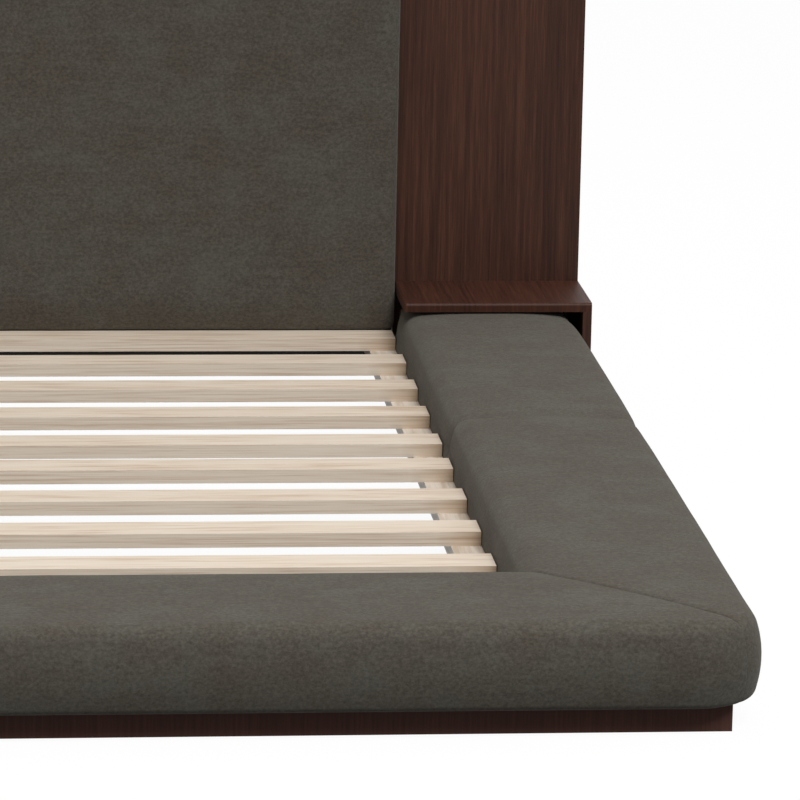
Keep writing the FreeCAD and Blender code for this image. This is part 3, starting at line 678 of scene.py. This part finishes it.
def colours(tree, value, stops, tones):
    """A colour ramp with one tone at each stop. A stop is a number from 0 to 1."""
    ramp = tree.nodes.new("ShaderNodeValToRGB")
    while len(ramp.color_ramp.elements) < len(stops):
        ramp.color_ramp.elements.new(0.5)
    for element, stop, tone in zip(ramp.color_ramp.elements, stops, tones):
        element.position = stop
        element.color = (*tone, 1)
    tree.links.new(value, ramp.inputs["Fac"])
    return ramp.outputs["Color"]


def blended(tree, amount, first, second, kind="MIX"):
    """Two colours blended by an amount. The second is a socket or a plain colour."""
    blend = tree.nodes.new("ShaderNodeMixRGB")
    blend.blend_type = kind
    tree.links.new(amount, blend.inputs["Fac"])
    tree.links.new(first, blend.inputs["Color1"])
    if isinstance(second, tuple):
        blend.inputs["Color2"].default_value = (*second, 1)
    else:
        tree.links.new(second, blend.inputs["Color2"])
    return blend.outputs["Color"]


def bumped(tree, shader, height, depth, strength=1.0):
    """Relief of a depth in metres."""
    bump = tree.nodes.new("ShaderNodeBump")
    bump.inputs["Strength"].default_value = strength
    bump.inputs["Distance"].default_value = depth
    tree.links.new(height, bump.inputs["Height"])
    tree.links.new(bump.outputs["Normal"], shader.inputs["Normal"])


def new_finish(name):
    """An empty finish: its node tree and its shader."""
    material = bpy.data.materials.new(name)
    material.use_nodes = True
    return material, material.node_tree, material.node_tree.nodes["Principled BSDF"]


suede, tree, shader = new_finish("brushed_suede")
patches = noise_layer(tree, PATCH_CELLS, detail=4, roughness=0.6)
mottle = noise_layer(tree, MOTTLE_CELLS, detail=5, roughness=0.75)
streaks = noise_layer(tree, STREAK_CELLS, detail=5, roughness=0.65)
nap = mixed(tree, mixed(tree, mottle, streaks, 0.20), patches, 0.2)
brown = colours(tree, nap, SUEDE_STOPS, SUEDE_BROWN)
olive = colours(tree, nap, SUEDE_STOPS, SUEDE_OLIVE)
hue = mapped(tree, mixed(tree, patches, streaks, 0.15), *HUE_RANGE, *OLIVE_SHARES)
tree.links.new(blended(tree, hue, brown, olive), shader.inputs["Base Color"])
shader.inputs["Roughness"].default_value = 0.9
shader.inputs["Specular IOR Level"].default_value = 0.2
shader.inputs["Sheen Weight"].default_value = 0.09
shader.inputs["Sheen Roughness"].default_value = 0.5
shader.inputs["Sheen Tint"].default_value = (0.90, 0.88, 0.80, 1)
fibres = noise_layer(tree, FIBRE_CELLS, detail=3, roughness=0.7)
bumped(tree, shader, mixed(tree, mottle, fibres, 0.6), 0.0007, 0.7)
for piece in soft_pieces:
    piece.data.materials.append(suede)
print("suede on", len(soft_pieces), "pieces")

# %% [markdown]
# ## Dark veneer
# The wings, the shelves and the plinth are faced with a dark, fine-grained veneer under a satin
# lacquer. Its grain is long thin streaks with short open pores. Noise that is squeezed across the
# grain and stretched along it gives both. The grain stands upright on wings, uprights and plinth,
# and runs from back to front on the shelves. The plinth's tones are painted lighter than the
# wings' to stand in for light thrown up from the floor: painted bounce light.

# %% Make the veneer
FLOW_CELLS, FIGURE_CELLS, PORE_CELLS = (4.0, 170.0), (0.5, 9.0), (22.0, 620.0)
FLAT_SHARE = 0.25
VENEER_STOPS = 0.37, 0.50, 0.63
WING = (0.021, 0.0073, 0.0042), (0.043, 0.0162, 0.0094), (0.077, 0.031, 0.018)
SHELF = (0.024, 0.0082, 0.0049), (0.044, 0.016, 0.0094), (0.072, 0.0265, 0.015)
# The plinth's tones are painted lighter than the wings': painted bounce light from the floor.
PLINTH_WITH_PAINTED_BOUNCE = (0.066, 0.030, 0.023), (0.085, 0.039, 0.031), (0.107, 0.050, 0.040)


def grain_stretch(direction, cells_to_metre, flat=""):
    """Noise cells: few along the grain, many across it, and fewer over a flat-sawn face."""
    along, across = cells_to_metre
    cells = {axis: along if axis in direction else across for axis in "xyz"}
    return tuple(cells[axis] * (FLAT_SHARE if axis in flat else 1) for axis in "xyz")


def veneer(name, direction, gloss, tones):
    """A lacquered veneer with its grain along one axis, or over an edge along two."""
    material, tree, shader = new_finish(name)
    flow_space, figure_space, pore_space = (
        grain_stretch(direction, cells) for cells in (FLOW_CELLS, FIGURE_CELLS, PORE_CELLS)
    )
    flow = noise_layer(tree, flow_space, detail=7, roughness=0.65, distortion=0.15)
    figure = noise_layer(tree, figure_space, detail=3, roughness=0.5)
    pores = noise_layer(tree, pore_space, detail=2, roughness=0.5)
    grain = mixed(tree, mixed(tree, flow, figure, 0.30), pores, 0.20)
    tree.links.new(colours(tree, grain, VENEER_STOPS, tones), shader.inputs["Base Color"])
    shader.inputs["Roughness"].default_value = 0.48
    shader.inputs["Specular IOR Level"].default_value = gloss
    bumped(tree, shader, mixed(tree, flow, pores, 0.6), 0.0002, 0.5)
    return material


def dress(material, *starts):
    """Gives a finish to every CAD node whose name starts with one of the words."""
    dressed = [name for name in nodes if name.startswith(starts)]
    for name in dressed:
        mesh = nodes[name].data
        if not mesh.materials:
            mesh.materials.append(material)
        for slot in nodes[name].material_slots:
            slot.material = material
    print(material.name, "on", len(dressed), "nodes")


dress(veneer("wing_veneer", "z", 0.20, WING), "headboard_wing", "shelf_side")
dress(veneer("shelf_veneer", "yz", 0.15, SHELF), "shelf_top")
# Painted bounce light: the plinth's veneer is lighter than the wings' veneer.
dress(veneer("plinth_veneer_painted_bounce", "z", 0.10, PLINTH_WITH_PAINTED_BOUNCE), "plinth")

# %% [markdown]
# ## Pale planed wood
# Slats, ledgers and the middle beam are planed softwood with no finish. The boards are flat-sawn:
# their tops are almost plain, and their edges show fine brown lines. The same squeezed noise makes
# both, with fewer cells across a top than up an edge, and a slower noise makes every slat a little
# different from the next. Towards their ends, beside the padded rails, the slats carry painted
# shade, darker and browner, most of all on the upright edges.
# The ledgers and the beam are a shade darker than the slats.

# %% Make the pale wood
BAND_CELLS, TONE_CELLS, LINE_CELLS = (1.8, 150.0), (0.35, 5.0), (6.0, 420.0)
WOOD_STOPS = 0.39, 0.50, 0.60
PALE = (0.575, 0.43, 0.31), (0.77, 0.65, 0.525), (0.82, 0.72, 0.605)
LEDGER = (0.46, 0.37, 0.285), (0.60, 0.525, 0.445), (0.65, 0.585, 0.51)
# Painted shade at the slat ends: how far it reaches, how much of it the tops get, and its tint.
END_SHADE_REACH, END_SHADE_TOP_SHARE = 0.078, 0.25
END_SHADE_TINT = (0.49, 0.42, 0.35)


def planed_wood(name, direction, flat, gloss, tones):
    """Planed wood: its grain runs along one axis, and its boards lie flat across another."""
    material, tree, shader = new_finish(name)
    band_space = grain_stretch(direction, BAND_CELLS, flat)
    line_space = grain_stretch(direction, LINE_CELLS, flat)
    bands = noise_layer(tree, band_space, detail=6, roughness=0.68, distortion=0.25)
    tone = noise_layer(tree, grain_stretch(direction, TONE_CELLS), detail=2, roughness=0.5)
    lines = noise_layer(tree, line_space, detail=3, roughness=0.65)
    grain = mixed(tree, mixed(tree, bands, tone, 0.25), lines, 0.45)
    tree.links.new(colours(tree, grain, WOOD_STOPS, tones), shader.inputs["Base Color"])
    shader.inputs["Roughness"].default_value = 0.40
    shader.inputs["Specular IOR Level"].default_value = gloss
    bumped(tree, shader, mixed(tree, bands, lines, 0.6), 0.0003, 0.5)
    return material


def size_along(tree, vector, axis):
    """How big a vector is along one axis, whichever way it points."""
    parts = tree.nodes.new("ShaderNodeSeparateXYZ")
    tree.links.new(vector, parts.inputs["Vector"])
    return worked_out(tree, "ABSOLUTE", parts.outputs[axis])


def paint_end_shade(material, end):
    """Paints shade, darker and browner, into boards that run along x towards both ends: upright edges
    in full, tops less.
    """
    tree, shader = material.node_tree, material.node_tree.nodes["Principled BSDF"]
    place = tree.nodes.new("ShaderNodeTexCoord")
    along = size_along(tree, place.outputs["Object"], "X")
    facing = size_along(tree, place.outputs["Normal"], "Y")
    near_end = mapped(tree, along, start=end - END_SHADE_REACH, end=end)
    on_edge = mapped(tree, facing, low=END_SHADE_TOP_SHARE)
    amount = worked_out(tree, "MULTIPLY", near_end, on_edge)
    plain = shader.inputs["Base Color"].links[0].from_socket
    # The plain wood colour darkened and browned towards the ends: painted shade.
    brown = blended(tree, amount, plain, END_SHADE_TINT, "MULTIPLY")
    tree.links.new(brown, shader.inputs["Base Color"])


slat_wood = planed_wood("slat_wood", "x", "y", 0.9, PALE)
# Painted shade at the slat ends, beside the padded rails.
paint_end_shade(slat_wood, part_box("slat_01")[1].x)
dress(slat_wood, "slat_0", "slat_1")
dress(planed_wood("ledger_wood", "y", "x", 0.2, LEDGER), "slat_ledger", "centre_beam")
dress(planed_wood("leg_wood", "z", "", 0.5, PALE), "centre_legs", "shelf_dowels")

# %% [markdown]
# ## Raw board, felt and zinc
# The pieces that nobody sees once the bed is made are plain: raw plywood for the cores, the
# runners and the battens, felt under the legs, and zinc-plated fasteners with fine scratches. The
# board behind the padding is near black: painted shade, standing in for the dark line that shows
# through the first gap between the slats.

# %% Make the hidden finishes
PLYWOOD = (0.30, 0.19, 0.105), (0.40, 0.27, 0.16), (0.47, 0.34, 0.22)
# Painted shade: the centre board is near black, so it shows dark between the first slats.
PAINTED_SHADE_BLACK = (0.004, 0.004, 0.004), (0.008, 0.0075, 0.007), (0.014, 0.013, 0.012)
FUZZ_CELLS, SCRATCH_CELLS = (420, 420, 420), (60, 900, 900)
TWO_STOPS = 0.3, 0.7
FELT = (0.010, 0.009, 0.008), (0.032, 0.029, 0.026)
ZINC = (0.44, 0.44, 0.43), (0.60, 0.60, 0.58)

raw_board = planed_wood("raw_board", "x", "", 0.3, PLYWOOD)
# Near-black painted shade for the headboard's centre board.
black_board = planed_wood("black_board", "x", "", 0.2, PAINTED_SHADE_BLACK)
dress(raw_board, "rail_core", "runner", "back_batten")
dress(black_board, "headboard_centre_board")

felt, tree, shader = new_finish("felt")
fuzz = noise_layer(tree, FUZZ_CELLS, detail=5, roughness=0.75)
tree.links.new(colours(tree, fuzz, TWO_STOPS, FELT), shader.inputs["Base Color"])
shader.inputs["Roughness"].default_value = 1.0
shader.inputs["Sheen Weight"].default_value = 0.2
bumped(tree, shader, fuzz, 0.0008)
dress(felt, "leg_pads")

zinc, tree, shader = new_finish("zinc_plate")
scratches = noise_layer(tree, SCRATCH_CELLS, detail=4, roughness=0.7)
tree.links.new(colours(tree, scratches, TWO_STOPS, ZINC), shader.inputs["Base Color"])
shader.inputs["Roughness"].default_value = 0.38
shader.inputs["Metallic"].default_value = 1.0
bumped(tree, shader, scratches, 0.0001)
dress(zinc, "wood_screws", "batten_screws", "shelf_screws", "corner_plates")
dress(zinc, "rail_joint_bolts", "headboard_bolts")

# %% [markdown]
# ## Finish
# The view shows colours through Blender's standard transform. The dressed bed must not
# be bigger than the CAD model.

# %% Set the view
scene.view_settings.view_transform = "Standard"
